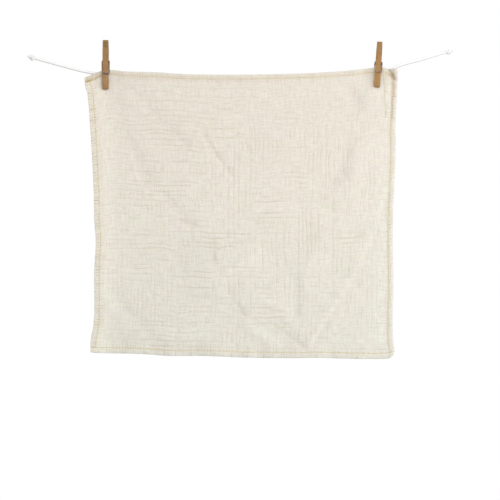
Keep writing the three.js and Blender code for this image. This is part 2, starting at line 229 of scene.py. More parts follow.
def soft_noise(x, y, cell_x, cell_y, seed):
    """A smooth random field from -1 to 1 whose humps are cell_x by cell_y across."""
    table = np.random.default_rng(seed).uniform(-1, 1, (NOISE_TABLE, NOISE_TABLE))
    fx, fy = np.asarray(x) / cell_x + 40.3, np.asarray(y) / cell_y + 40.7
    ix, iy = np.floor(fx).astype(int), np.floor(fy).astype(int)
    tx, ty = fx - ix, fy - iy
    tx = tx**3 * (tx * (6 * tx - 15) + 10)
    ty = ty**3 * (ty * (6 * ty - 15) + 10)

    def at(right, up):
        return table[(ix + right) % NOISE_TABLE, (iy + up) % NOISE_TABLE]

    low = at(0, 0) * (1 - tx) + at(1, 0) * tx
    high = at(0, 1) * (1 - tx) + at(1, 1) * tx
    return low * (1 - ty) + high * ty


def between(t, start, end, first, second):
    """The value at t of what goes evenly from first to second as t goes from start to end."""
    return (end - t) / (end - start) * first + (t - start) / (end - start) * second


def smooth_route(points, step):
    """Points about step apart on a centripetal Catmull-Rom curve through the given ones."""
    points = np.asarray(points, float)
    padded = np.vstack([2 * points[0] - points[1], points, 2 * points[-1] - points[-2]])
    out = []
    for p0, p1, p2, p3 in zip(padded, padded[1:], padded[2:], padded[3:]):
        t1 = np.linalg.norm(p1 - p0) ** 0.5
        t2 = t1 + np.linalg.norm(p2 - p1) ** 0.5
        t3 = t2 + np.linalg.norm(p3 - p2) ** 0.5
        count = max(2, round(np.linalg.norm(p2 - p1) / step))
        t = np.linspace(t1, t2, count, endpoint=False)[:, None]
        a1, a2, a3 = between(t, 0, t1, p0, p1), between(t, t1, t2, p1, p2), between(t, t2, t3, p2, p3)
        b1, b2 = between(t, 0, t2, a1, a2), between(t, t1, t3, a2, a3)
        out.append(between(t, t1, t2, b1, b2))
    return np.vstack([*out, points[-1:]])


def travelling_frames(route):
    """Two directions across a route at each of its points, which turn as little as they can."""
    tangent = np.gradient(route, axis=0)
    tangent /= np.linalg.norm(tangent, axis=1)[:, None]
    first = np.cross(tangent[0], [0.0, 0.0, 1.0])
    if np.linalg.norm(first) < 0.1:
        first = np.cross(tangent[0], [0.0, 1.0, 0.0])
    side = np.empty_like(route)
    side[0] = first / np.linalg.norm(first)
    for i in range(1, len(route)):
        carried = side[i - 1] - tangent[i] * np.dot(side[i - 1], tangent[i])
        side[i] = carried / np.linalg.norm(carried)
    return side, np.cross(tangent, side)


def tube(route, radius, sides):
    """Points, faces and outward directions of a closed tube.

    Its radius is a column, with one value for each ring, or a table of one for each ring and side.
    """
    side, up = travelling_frames(route)
    angle = np.linspace(0, 2 * math.pi, sides, endpoint=False)
    outward = np.cos(angle)[None, :, None] * side[:, None] + np.sin(angle)[None, :, None] * up[:, None]
    points = (route[:, None] + radius[:, :, None] * outward).reshape(-1, 3)
    last = (len(route) - 1) * sides
    faces = [
        (low + i, low + (i + 1) % sides, low + sides + (i + 1) % sides, low + sides + i)
        for low in range(0, last, sides)
        for i in range(sides)
    ]
    faces += [tuple(range(sides))[::-1], tuple(range(last, last + sides))]
    return points, faces, outward


# ---- line ----

CORD_SIDES = 20
CORD_STEP = 0.85
BRAID_LENGTH = 3.4  # of one step of the cord's braid
BRAID_RELIEF = 0.015  # of the cord's radius
CUT_END = 1.2  # over which a cut end rounds off
KNOT_RING, KNOT_BULGE, KNOT_CORD = 2.0, 1.3, 3.6  # mean radius, its swing, and the cord pulled thin
KNOT_CENTRE = 4.6  # past the end of the line
TAIL_CORD, ROOT_CORD = 3.9, 4.3  # widths of the cord past the knot and into it


def cord_tube(route, diameter):
    """A braided cord along a route: points, faces, and how far each point faces straight down."""
    length = np.concatenate([[0], np.cumsum(np.linalg.norm(np.diff(route, axis=0), axis=1))])
    angle = np.linspace(0, 2 * math.pi, CORD_SIDES, endpoint=False)
    step = (2 * math.pi * length / BRAID_LENGTH)[:, None]
    ribs = np.cos(4 * angle[None] - step) * np.cos(4 * angle[None] + step)
    radius = diameter / 2 * (1 - BRAID_RELIEF + BRAID_RELIEF * ribs)
    ends = np.minimum(length, length[-1] - length)
    radius *= np.sqrt(np.clip(0.3 + ends / CUT_END, 0, 1))[:, None]
    points, faces, outward = tube(route, radius, CORD_SIDES)
    return points, faces, np.clip(-outward[:, :, 2], 0, 1).reshape(-1)


def cord_object(name, tubes):
    """One mesh object from several cord tubes, with their undersides as an attribute, which the cord's
    material turns into painted shade.
    """
    piece = joined(name, tubes)
    set_attribute(piece, "underside", np.concatenate([below for *_, below in tubes]))
    return piece


def make_line():
    route = smooth_route(LINE_ROUTE, CORD_STEP)
    piece = cord_object("line_cord", [cord_tube(route, CORD_DIAMETER)])
    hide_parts("line")
    return piece, to_frame(route)


def make_knot(name, end, before, node):
    """A tight overhand knot in the same cord, with the short tail that is left past it."""
    outward = (end - before) / np.linalg.norm(end - before)
    side = np.cross(outward, [0.0, 1.0, 0.0])
    side /= np.linalg.norm(side)
    up = np.cross(side, outward)
    t = np.linspace(0, 2 * math.pi, 110)
    out = KNOT_RING + KNOT_BULGE * np.cos(3 * t)
    centre = end + outward * KNOT_CENTRE
    loop = (
        centre
        + np.outer(out * np.cos(2 * t), side)
        + np.outer(out * np.sin(2 * t), up)
        + np.outer(1.5 * KNOT_BULGE * np.sin(3 * t), outward)
    )
    tail = smooth_route([
        centre + outward * 1.0,
        centre + outward * 4.2 - up * 0.4,
        centre + outward * 7.0 - up * 1.2,
    ], 0.8)
    root = smooth_route([end - outward * 1.0, end + outward * 1.6, centre], 0.8)
    cords = [(loop, KNOT_CORD), (tail, TAIL_CORD), (root, ROOT_CORD)]
    piece = cord_object(name, [cord_tube(*cord) for cord in cords])
    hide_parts(node)
    return piece


line, line_path = make_line()
knots = [
    make_knot("knot_left", LINE_ROUTE[0], LINE_ROUTE[1], "line_knot_left"),
    make_knot("knot_right", LINE_ROUTE[-1], LINE_ROUTE[-2], "line_knot_right"),
]

# ---- cloth ----

HEM = {"left": 8.9, "right": 8.4, "top": 7.3, "bottom": 9.0}  # finished widths of the hem
STITCH_INSET = 0.9  # of the stitching from the hem's inner edge
STITCH_DEPTH = 0.12  # by which it draws the hem in
TURN_RADIUS = 0.6  # of the rounded edge where the hem turns back
HALF_CLOTH = 0.4  # from the cloth's middle to its front
HEM_PROUD = 0.3  # front of the hem, before the front of the cloth
HEM_CUT = 1.5  # size of the cloth's facets at its edges
CURL_WIDTH, CURL_DEPTH = 6.5, 1.3  # of the right edge, which curls back
# Colours as shares of the plain cloth's: painted shade in a crease; each hem's own colour, and painted
# light along its very edge (painted shade along the bottom hem's edge); painted shade in the cloth
# beside the stitching; and the paler strip's beside a side hem.
CREASE_PAINTED_SHADE = (0.885, 0.835, 0.785)
HEM_TONES_AND_PAINTED_RIMS = {
    "left": ((1.11, 1.105, 1.095), (1.02, 1.02, 1.02)),
    "right": ((0.98, 0.98, 0.965), (1.22, 1.25, 1.33)),
    "top": ((0.993, 0.965, 0.938), (1.08, 1.14, 1.19)),
    "bottom": ((1.09, 1.09, 1.085), (0.9, 0.915, 0.93)),
}
GROOVE_PAINTED_SHADE = {"left": (0.99, 1.0, 1.0), "right": (0.95, 0.95, 0.95)}
STRIP_TONES = {"left": (1.08, 1.08, 1.08), "right": (1.02, 1.035, 1.04)}
# Painted light and shade: the cloth is a little darker and warmer towards the top, lighter and cooler
# towards the bottom.
PAINTED_LIGHT_DRIFT = np.array([-0.006, -0.026, -0.032])  # towards the top; the other way towards the bottom
NOTCH_LOSS = {"left": 0.1, "bottom": 0.17}  # of light, in the gaps of a gathered hem, at its edge
NOTCH_REACH = 5.0
# The stitching draws each hem into ticks: their height with the seed of their noise, their share of
# painted shade and bumps on the hem and past it, and how far past it they reach.
HEM_RELIEF = {"left": (0.2, 31), "right": (0.2, 33), "top": (0.09, 35), "bottom": (0.2, 37)}
HEM_TICKS = {"left": 0.85, "right": 0.5, "top": 0.15, "bottom": 0.45}
GATHERED = {"left": 0.4, "right": 0.35, "top": 0.0, "bottom": 0.3}
GATHER_REACH = {"left": 7, "right": 8, "top": 7, "bottom": 8}
# Painted shade at the two upper corners, with a golden rim and a pinker tone among it: soft strokes as
# (x0, z0, x1, z1, half width), and the share of the cloth's colour that is left along them.
SHADES = [
    # Painted shade inside the pocket that the right corner falls into, and the pocket's golden rim.
    ([(217, 9, 220, 3, 1.6), (220.5, 2, 223.5, -4, 3.0)], (0.56, 0.47, 0.38)),
    ([(216.5, 2.5, 220.5, -5.5, 1.1)], (0.9, 0.76, 0.52)),
    # Painted shade along the seam from the left peg to its corner, and on the flap above that seam.
    ([(-229, -8.6, -217, -5.5, 1.2), (-217, -5.5, -206.5, 1.5, 1.4)], (0.74, 0.63, 0.48)),
    ([(-228, -4, -210, 4.5, 3.0)], (0.9, 0.87, 0.84)),
    # Painted shade on the right hem below the pocket and in the cloth beside that hem; a pinker, darker
    # tone on the top hem.
    ([(222, -11, 221.5, -30, 2.8), (221, -30, 220, -62, 1.8)], (0.8, 0.73, 0.67)),
    ([(208, -2, 211, -60, 1.6)], (0.87, 0.84, 0.79)),
    ([(178, 5, 215, 1, 3.2)], (0.965, 0.905, 0.885)),
]

TOP_WIDTH = TOP_EDGE[-1][0] - TOP_EDGE[0][0]
LEFT_HEIGHT = TOP_EDGE[0][1] - BOTTOM_EDGE[0][1]


def outline_point(across, down):
    """Blends the outline's four edges across the square: across and down run from 0 to 1."""
    corners = (TOP_EDGE[0], TOP_EDGE[-1], BOTTOM_EDGE[0], BOTTOM_EDGE[-1])
    top_left, top_right, bottom_left, bottom_right = (np.array(corner) for corner in corners)
    across, down = across[..., None], down[..., None]
    top, bottom = mix(top_left, top_right, across), mix(bottom_left, bottom_right, across)
    left, right = mix(top_left, bottom_left, down), mix(top_right, bottom_right, down)
    flat = mix(top, bottom, down)
    top[..., 1] = table_at(TOP_EDGE, top[..., 0])
    bottom[..., 1] = table_at(BOTTOM_EDGE, bottom[..., 0])
    left[..., 0] = table_at(LEFT_EDGE, left[..., 1])
    right[..., 0] = table_at(RIGHT_EDGE, right[..., 1])
    place = mix(top, bottom, down) + mix(left, right, across) - flat
    return place[..., 0], place[..., 1]


def stroke(x0, z0, x1, z1, half, x, z):
    """1 along a line on the cloth, dying away to both sides of it and past its ends."""
    length = math.hypot(x1 - x0, z1 - z0)
    dx, dz = (x1 - x0) / length, (z1 - z0) / length
    run = (x - x0) * dx + (z - z0) * dz
    side = (x - x0) * dz - (z - z0) * dx
    beyond = np.maximum(0, np.maximum(-run, run - length))
    return np.exp(-(side**2 + beyond**2) / half**2)


def spot(place_x, place_z, reach, x, z):
    """1 at a place on the cloth, dying away around it."""
    return np.exp(-((x - place_x) ** 2 + (z - place_z) ** 2) / reach**2)


def fold_rise(folds, x, z):
    """How far folds bring the cloth forward, each given as (x0, z0, x1, z1, rise, half width)."""
    return sum(rise * stroke(*ends, half, x, z) for *ends, rise, half in folds)


def held_by(peg, x, z):
    """1 in a peg's jaws, falling to 0 away from them."""
    sideways = 1 - smooth_step(np.abs(x - peg["x"]), CLAMP_FLAT, CLAMP_SOFT)
    return sideways * (1 - smooth_step(-z, -CLAMP_BOTTOM, -CLAMP_SOFT_BOTTOM))


def cloth_depth(x, z):
    """Depth of the cloth's middle, as in the part's source but for the share of its folds."""
    depth = -BELLY - FOLD_SHARE * fold_rise(FOLDS, x, z)
    for peg in PEGS:
        slope = math.tan(math.radians(peg["lean"]))
        jaw_plane = slope * (np.maximum(z, CLAMP_BOTTOM) - peg["z"])
        depth += (jaw_plane - depth) * held_by(peg, x, z)
    return depth


# Rows of fine tacking hold the two layers of gauze together, both ways, and the cloth creases there.
UPRIGHT_PITCH, LEVEL_PITCH = 6.7, 7.1  # mean distance between two rows, across and down the cloth
FIRST_ROW = 4.5  # from a hem's inner edge
CREASE_UNEVEN = 0.21  # how far a row strays from even spacing, as a share of it
CREASE_FOOT = 0.8  # from the bottom of a crease to its first shoulder
CREASE_DEPTH = 0.46
SHARP_HALF = 0.95 * CREASE_FOOT  # half width of a crease's sharp bottom
DIP_HALF, DIP_SHARE = 2.2, 0.12  # half width of the dip round it, and its share of the depth
UPRIGHT_STRENGTH, LEVEL_STRENGTH = 1.05, 1.38  # of the upright and the level creases
PUFF_HEIGHT = 0.07  # of the puffs between the creases
SHOULDERS_ACROSS, SHOULDERS_DOWN = 3, 4  # of the mesh, between two creases
# A crease that runs along under the top hem: its distance from the top edge, its depth and the share
# of painted shade in it.
TOP_CREASE, TOP_CREASE_DEPTH, TOP_CREASE_SHADE = 9.8, 0.14, 0.6
# Where the crinkles run mostly upright (share near 1) or level (near 0), as (x, z, reach, share).
CRINKLE_PATCHES = [
    (-100, -25, 60, 0.1), (-10, -20, 50, 0.2), (-158, -105, 30, 0.6), (-5, -150, 45, 1.0),
    (80, -154, 22, 0.0), (150, -115, 50, 1.0), (122, -205, 36, 1.0), (84, -235, 26, 1.0),
    (40, -192, 24, 0.0), (162, -232, 24, 0.0), (200, -235, 30, 1.0), (-20, -255, 40, 0.2),
    (45, -272, 24, 1.0), (86, -315, 34, 0.85), (122, -330, 24, 0.1), (165, -325, 30, 0.8),
    (0, -322, 24, 1.0), (45, -354, 24, 0.0),
]
CALM_PATCH = (-60, -135, 42, 0.32)  # where the creases are fainter, as (x, z, reach, loss)
# Single creases that step from thread to thread, as (x0, z0, x1, z1, depth, half width); each also
# gets painted shade along it.
DRAWN_CREASES = [
    (-58, -86, -50, -97, 0.7, 1.6), (-50, -99, -42, -108, 0.8, 1.6), (-41, -111, -30, -128, 0.8, 1.8),
    (-29, -128, -14, -150, 0.6, 1.8), (-99, -93, -87, -96, 0.5, 1.3), (-87, -96, -79, -105, 0.6, 1.4),
    (-142, -66, -110, -69, 0.4, 1.1), (62, -118, 88, -116, 0.4, 1.1), (3, -94, 15, -120, 0.5, 1.8),
    (15, -120, 13, -139, 0.5, 1.8), (-103, -125, -56, -133, 0.35, 1.8),
    (157, -103, 150, -148, 0.4, 2.6), (168, -92, 157, -140, 0.3, 3.0),
    (-110, -175, -97, -190, 0.7, 2.4), (-108, -210, -90, -213, 0.5, 2.0),
    (-90, -213, -68, -219, 0.9, 2.8), (-86, -252, -66, -246, 0.6, 2.2),
    (-42, -243, -40, -270, 0.9, 2.4), (2, -182, 1, -214, 0.4, 2.2), (-20, -180, -17, -230, 0.3, 2.0),
    (16, -217, 62, -217, 0.5, 1.8), (-20, -247, 18, -243, 0.7, 2.2), (99, -222, 94, -262, 0.6, 2.4),
    (52, -258, 66, -284, 0.4, 2.6), (82, -294, 84, -350, 0.5, 2.8), (-17, -315, -12, -334, 0.7, 2.0),
    (-6, -308, 2, -320, 0.6, 1.8), (-8, -334, 4, -352, 0.8, 2.2), (24, -342, 62, -347, 0.9, 2.4),
    (26, -312, 44, -306, 0.4, 1.8), (42, -362, 90, -398, 0.9, 3.0), (-75, -324, -38, -325, 0.6, 1.8),
    (-130, -356, -88, -358, 0.5, 2.0), (-194, -316, -150, -366, 0.35, 3.0),
    (-32, -290, 8, -264, 0.5, 2.2), (-20, -302, 20, -276, 0.45, 2.2), (-4, -306, 30, -288, 0.4, 2.0),
    (150, -362, 178, -344, 0.5, 2.0), (140, -380, 160, -366, 0.4, 2.0),
    (150, -134, 158, -170, 0.4, 1.6),
]
# Narrow ridges where the cloth was folded, in the same form.
DRAWN_RIDGES = [
    (209, -168, 189, -240, 0.5, 2.6), (189, -240, 156, -309, 0.5, 2.6),
    (156, -309, 99, -394, 0.55, 2.6), (195, -352, 203, -372, 0.4, 2.2),
    (203, -372, 200, -398, 0.4, 2.2),
]
# Painted shade in wide, shallow hollows too flat for the relief and beside the folded ridges, and
# painted light on swells of the same kind and along those ridges, as (x0, z0, x1, z1, half width, loss
# of light); painted light has a negative loss.
SOFT_SHADE = [
    (-150, -48, -84, -98, 13, 0.016), (-172, -78, -134, -152, 11, 0.008),
    (-113, -172, -72, -216, 10, 0.012), (-84, -250, -70, -318, 17, 0.045),
    (-42, -240, -42, -270, 6, 0.03), (166, -92, 149, -143, 10, 0.045),
    (149, -143, 122, -186, 10, 0.035), (110, -230, 80, -272, 12, 0.025),
    (82, -292, 84, -352, 4.5, 0.05), (8, -352, 92, -399, 8, 0.03), (-194, -320, -145, -368, 9, 0.012),
    (26, -94, 36, -100, 25, 0.018), (-150, -251, -145, -251, 18, 0.01),
    (-165, -392, -60, -398, 11, 0.035), (-10, -348, 70, -388, 20, 0.016),
    (-20, -42, 120, -52, 34, 0.012), (22, -323, 56, -336, 5, -0.055), (-20, -312, -16, -345, 3, 0.03),
    (-8, -310, 1, -349, 3, 0.03), (-84, -216, -66, -220, 4.5, 0.03), (-42, -258, -41, -272, 4.5, 0.025),
    (-172, -75, -133, -150, 8, 0.02), (-118, -66, -80, -99, 6, 0.018), (9, -108, 14, -140, 3, 0.02),
    (-36, -300, 30, -262, 7, -0.015), (180, -60, 176, -200, 14, -0.015),
    (-188, -60, -186, -340, 11, -0.022), (-77, -168, -18, -168, 12, -0.015),
    (70, -192, 72, -200, 14, -0.015), (26, -262, 20, -280, 14, -0.03), (16, -366, 57, -399, 7, -0.055),
    (-110, -372, -60, -378, 12, -0.015), (208, -168, 188, -240, 2.8, -0.035),
    (188, -240, 155, -309, 2.8, -0.04), (155, -309, 99, -394, 2.8, -0.045),
    (216, -178, 195, -244, 5, 0.016), (195, -244, 162, -313, 5, 0.014),
    (162, -313, 108, -398, 5, 0.012), (-165, -80, -160, -330, 20, -0.012),
    (196, -350, 204, -372, 2.4, -0.03), (204, -372, 201, -400, 2.4, -0.03),
    (-207, -335, -172, -388, 9, 0.02),
]


def crease_rows(length, start_hem, end_hem, pitch, seed):
    """Places of the tacking rows across the cloth, and how strongly each one creases."""
    start, end = start_hem + FIRST_ROW, length - end_hem - FIRST_ROW
    count = round((end - start) / pitch)
    rng = np.random.default_rng(seed)
    stray = rng.uniform(-CREASE_UNEVEN, CREASE_UNEVEN, count + 1)
    places = start + (np.arange(count + 1) + stray) * (end - start) / count
    return places, rng.uniform(0.25, 1, count + 1)


UPRIGHT_ROWS = crease_rows(TOP_WIDTH, HEM["left"], HEM["right"], UPRIGHT_PITCH, 61)
LEVEL_ROWS = crease_rows(LEFT_HEIGHT, HEM["top"], HEM["bottom"], LEVEL_PITCH, 62)


def creased(rows, across, along, seed):
    """How deep the nearest row's crease is, from 0 to about 1, how sharp, and its mean sharpness."""
    places, strength = rows
    nearest = np.clip(np.searchsorted((places[1:] + places[:-1]) / 2, across), 0, len(places) - 1)
    off = across - places[nearest]
    run = soft_noise(nearest, along, 1, 32, seed) + 0.45 * soft_noise(nearest, along, 1, 9, seed + 1)
    alive = smooth_step(run + 0.9 * strength[nearest], 0.0, 0.95)
    sharp = alive * bell(off, SHARP_HALF)
    mean = alive * math.sqrt(math.pi) * SHARP_HALF / np.mean(np.diff(places))
    return mix(sharp, alive * bell(off, DIP_HALF), DIP_SHARE), sharp, mean


def wander(a, b):
    """How far the threads stray from straight rows, in millimetres each way."""
    inside = np.minimum(np.minimum(a, TOP_WIDTH - a), np.minimum(b, LEFT_HEIGHT - b))
    free = smooth_step(inside, 9, 34)
    right = 2.2 * soft_noise(a, b, 60, 38, 11) + 0.8 * soft_noise(a, b, 22, 15, 21)
    down = 2.2 * soft_noise(a, b, 38, 60, 12) + 0.8 * soft_noise(a, b, 15, 22, 22)
    return right * free, down * free


def crinkle(a, b, x, z):
    """Height of the gauze's puckers, and how much painted shade its sharp creases get."""
    share = 0.38 + 0.26 * smooth_step(x, -30, 110) + 0.35 * soft_noise(a, b, 55, 60, 17)
    for *place, wanted in CRINKLE_PATCHES:
        share = mix(share, wanted, spot(*place, x, z))
    share = smooth_step(share, 0, 1)
    much_upright = UPRIGHT_STRENGTH * (0.3 + 0.7 * share)
    much_level = LEVEL_STRENGTH * (1 - 0.7 * share)
    upright, upright_sharp, upright_mean = creased(UPRIGHT_ROWS, a, b, 71)
    level, level_sharp, level_mean = creased(LEVEL_ROWS, b, a, 81)
    # The gauze is calmer near the side hems, at the top and in one patch.
    middle = smooth_step(np.minimum(a, TOP_WIDTH - a), 25, 115)
    vigour = 0.74 + 0.36 * middle + 0.25 * soft_noise(a, b, 45, 45, 13)
    *place, loss = CALM_PATCH
    vigour = vigour - loss * spot(*place, x, z)
    vigour = vigour * (0.4 + 0.6 * smooth_step(b, 14, 120))
    relief = -CREASE_DEPTH * vigour * np.maximum(upright * much_upright, level * much_level)
    sharp = vigour * np.maximum(upright_sharp * much_upright, level_sharp * much_level)
    relief = relief + PUFF_HEIGHT * (
        soft_noise(a, b, 4.2, 18.0, 14) * much_upright + soft_noise(a, b, 18.0, 4.2, 16) * much_level
    )
    # Soft swells, aslant to the threads.
    relief += 0.14 * soft_noise(a + 0.4 * b, b, 24, 34, 18) + 0.03 * soft_noise(a, b - 0.3 * a, 13, 11, 19)
    # Drawn creases sink the relief and add painted shade along them.
    for *ends, depth, half in DRAWN_CREASES:
        dip = stroke(*ends, half, x, z)
        relief -= depth * dip
        sharp = np.maximum(sharp, 0.7 * depth * dip)
    sharp = sharp - vigour * (upright_mean * much_upright + level_mean * much_level)
    return relief + fold_rise(DRAWN_RIDGES, x, z), sharp


def notches(run, seed):
    """Where short dark gaps open between the puffs of a gathered hem, from 0 to 1."""
    open_at = soft_noise(run, 0 * run, 2.3, 1, seed) + 0.4 * soft_noise(run, 0 * run, 11, 1, seed + 1)
    return smooth_step(open_at, 0.3, 0.8)


def along_hem(distance, run, inset, ticks, seed):
    """Height of a hem at a distance from its edge, stitched in and drawn into ticks, and its share."""
    tick = soft_noise(run, distance, 1.9, 7, seed) + 0.5 * soft_noise(run, distance, 3.3, 12, seed + 1)
    over_hem = 1 - smooth_step(distance, inset - 0.4, inset + 1.6)
    gather = bell(distance - inset, 6) * (distance > inset) + over_hem
    groove = STITCH_DEPTH * bell(distance - inset, 0.775)
    return HEM_PROUD * over_hem + ticks * tick * gather - groove, over_hem


def shaded(tint, share, tone):
    """The tint, with so much of it turned towards a tone, which is a share of it."""
    return tint * (1 + np.asarray(share)[..., None] * (np.array(tone) - 1))


def tinted(a, b, x, z, distance, over, crease):
    """Colour of the cloth at each place, as a share of its plain colour, with painted light and shade in
    it.
    """
    # Painted light and shade that drift with height, and painted shade in the creases.
    height = (1 + np.clip(z, -400, 0) / 200)[..., None]
    tint = shaded(1 + height * PAINTED_LIGHT_DRIFT, crease, CREASE_PAINTED_SHADE)
    # Each hem's own colour, then painted light along its very edge, which is painted shade along the
    # bottom one.
    for side, (tone, rim) in HEM_TONES_AND_PAINTED_RIMS.items():
        tint = shaded(tint, over[side], tone)
        tint = shaded(tint, np.exp(-distance[side] / 3.0), rim)
    for side, loss in NOTCH_LOSS.items():
        gaps = notches(b if side == "left" else a, 41)
        tint = tint * (1 - loss * gaps * np.exp(-distance[side] / NOTCH_REACH))[..., None]
    uneven = 0.05 * soft_noise(a, b, 14, 30, 43) * np.exp(-distance["bottom"] / 20)
    tint = tint * (1 + uneven)[..., None]
    # Painted shade in the cloth beside the stitching.
    for side, tone in GROOVE_PAINTED_SHADE.items():
        tint = shaded(tint, bell(distance[side] - HEM[side] + STITCH_INSET, 1.6), tone)
    for side, tone in STRIP_TONES.items():
        tint = shaded(tint, bell(distance[side] - 18, 12) * (1 - over[side]), tone)
    for strokes, tone in SHADES:
        tint = shaded(tint, np.maximum.reduce([stroke(*ends, x, z) for ends in strokes]), tone)
    for *ends, loss in SOFT_SHADE:
        tint = tint * (1 - loss * stroke(*ends, x, z))[..., None]
    return tint


def surface(a, b, details=False):
    """Layout point on the cloth's front, for cloth measures a across and b down.

    With details, also the cloth's attributes there: its tint, which holds painted light and shade, its
    place in metres of cloth, and how much it is drawn into ticks by a side hem and by a level one.
    """
    right, down = wander(a, b)
    x, z = outline_point((a + right) / TOP_WIDTH, (b + down) / LEFT_HEIGHT)
    relief, sharp = crinkle(a, b, x, z)
    distance = {"left": a, "right": TOP_WIDTH - a, "top": b, "bottom": LEFT_HEIGHT - b}
    height, over = 0, {}
    for side, far in distance.items():
        run = b if side in ("left", "right") else a
        rise, over[side] = along_hem(far, run, HEM[side] - STITCH_INSET, *HEM_RELIEF[side])
        height = height + rise
    in_hem = np.maximum.reduce(list(over.values()))
    relief = relief * (1 - 0.75 * in_hem) + height
    curl = np.clip(1 - distance["right"] / CURL_WIDTH, 0, 1) ** 2
    relief -= CURL_DEPTH * curl * smooth_step(b, 30, 60)
    below_hem = bell(b - TOP_CREASE, 0.8)
    below_hem *= (1 - 0.8 * smooth_step(x, -20, 90)) * smooth_step(x, -190, -150)
    relief -= TOP_CREASE_DEPTH * below_hem
    pinched = np.zeros_like(x)
    for peg in PEGS:
        near = 1 - smooth_step(np.abs(x - peg["x"]), JAW_WIDTH / 2 + 0.4, JAW_WIDTH / 2 + 6)
        pinched = np.maximum(pinched, near * (1 - smooth_step(-z, 20, 28)))
    relief = relief * (1 - pinched) + HEM_PROUD * in_hem * pinched
    point = np.stack([x, cloth_depth(x, z) - HALF_CLOTH - relief, z], axis=-1)
    if not details:
        return point
    ticks = {}
    for side, share in over.items():
        past = np.exp(-np.maximum(distance[side] - HEM[side], 0) / GATHER_REACH[side])
        ticks[side] = np.maximum(HEM_TICKS[side] * share, GATHERED[side] * past * (1 - in_hem))
    sharp = np.maximum(sharp * (1 - in_hem), TOP_CREASE_SHADE * below_hem)
    return point, {
        "tint": tinted(a, b, x, z, distance, over, sharp),
        "side_hem": np.maximum(ticks["left"], ticks["right"]),
        "level_hem": np.maximum(ticks["top"], ticks["bottom"]),
        "threads": np.stack([a * MM, b * MM, 0 * a], axis=-1),
    }


def turned_edge(length, rows, start_hem, end_hem, shoulders):
    """Measures across the cloth from one raw edge, round both turned edges, to the other raw edge.

    Each is (place from the finished edge, how far behind the front layer it lies). Between the hems
    they follow the tacking rows, so that each crease has a bottom and two shoulders, which are the
    outer ones of so many measures between two rows.
    """
    def turn(hem):
        strip = [(hem + 0.3, 0.5), (hem, 1.7), (0.66 * hem, 2), (0.33 * hem, 2)]
        out = [(place, TURN_RADIUS * layers) for place, layers in strip]
        for angle in np.radians([180, 144, 108, 72, 36]):
            out.append((TURN_RADIUS * (1 - math.sin(angle)), TURN_RADIUS * (1 - math.cos(angle))))
        return out

    def even(start, end):
        return list(np.linspace(start, end, round((end - start) / HEM_CUT) + 1))

    places = even(TURN_RADIUS, rows[0] - CREASE_FOOT)
    for here, after in zip(rows, rows[1:]):
        places += [here, *np.linspace(here + CREASE_FOOT, after - CREASE_FOOT, shoulders)]
    places += [rows[-1], *even(rows[-1] + CREASE_FOOT, length - TURN_RADIUS)]
    end = [(length - place, behind) for place, behind in turn(end_hem)][::-1]
    return np.array(turn(start_hem) + [(place, 0.0) for place in places] + end)


def make_cloth():
    across = turned_edge(TOP_WIDTH, UPRIGHT_ROWS[0], HEM["left"], HEM["right"], SHOULDERS_ACROSS)
    level_rows = [TOP_CREASE, *LEVEL_ROWS[0]]
    down = turned_edge(LEFT_HEIGHT, level_rows, HEM["top"], HEM["bottom"], SHOULDERS_DOWN)
    points, details = surface(*np.meshgrid(across[:, 0], down[:, 0]), details=True)
    points[..., 1] += across[None, :, 1] + down[:, None, 1]
    corner = np.arange(len(down) * len(across)).reshape(len(down), len(across))
    faces = [corner[:-1, :-1], corner[1:, :-1], corner[1:, 1:], corner[:-1, 1:]]
    faces = np.stack(faces, axis=-1).reshape(-1, 4)
    piece = mesh_object("muslin_cloth", points.reshape(-1, 3), faces.tolist())
    for name, values in details.items():
        set_attribute(piece, name, values)
    return piece


cloth = make_cloth()
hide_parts("cloth")

# ---- stitching ----

STITCH_LENGTH = 2.8
STITCH_SIDES = 6
THREAD = 0.7
STITCH_ARCH = np.array([-0.22, 0.12, 0.2, 0.12, -0.22])  # height of the thread along a stitch
STITCH_TAPER = np.array([[0.7], [1], [1.05], [1], [0.7]])  # and its width
STITCH_END = 1.2  # of a row, from the cloth's edge
ROW_STOP = {"top": 13.5, "right": 14.5}  # of a row, from the corner that turns into the pocket


def stitch_rows():
    """Start and end of each straight row of stitching, in cloth measure."""
    left, right = HEM["left"] - STITCH_INSET, TOP_WIDTH - HEM["right"] + STITCH_INSET
    top, bottom = HEM["top"] - STITCH_INSET, LEFT_HEIGHT - HEM["bottom"] + STITCH_INSET
    return np.array([
        ((STITCH_END, top), (TOP_WIDTH - ROW_STOP["top"], top)),
        ((STITCH_END, bottom), (TOP_WIDTH - STITCH_END, bottom)),
        ((left, top), (left, bottom)),
        ((right, ROW_STOP["right"]), (right, bottom)),
    ])


def make_stitching():
    """Each stitch twice: in front of the cloth, and behind its folded hem."""
    rng = np.random.default_rng(5)
    threads = []
    for start, end in stitch_rows():
        count = round(np.linalg.norm(end - start) / STITCH_LENGTH)
        for i in range(count):
            stray = rng.uniform(-0.07, 0.07, 2)
            along = (i + np.linspace(0.06, 0.94, len(STITCH_ARCH))) / count
            place = start + (end - start) * along[:, None] + stray
            front = surface(place[:, 0], place[:, 1])
            for layer, facing in ((0.0, -1), (2.3 * TURN_RADIUS, 1)):
                route = front + np.array([0, layer, 0])
                route[:, 1] += facing * (STITCH_ARCH + 0.2)
                threads.append(tube(route, THREAD / 2 * STITCH_TAPER, STITCH_SIDES))
    return joined("hem_stitching", threads)


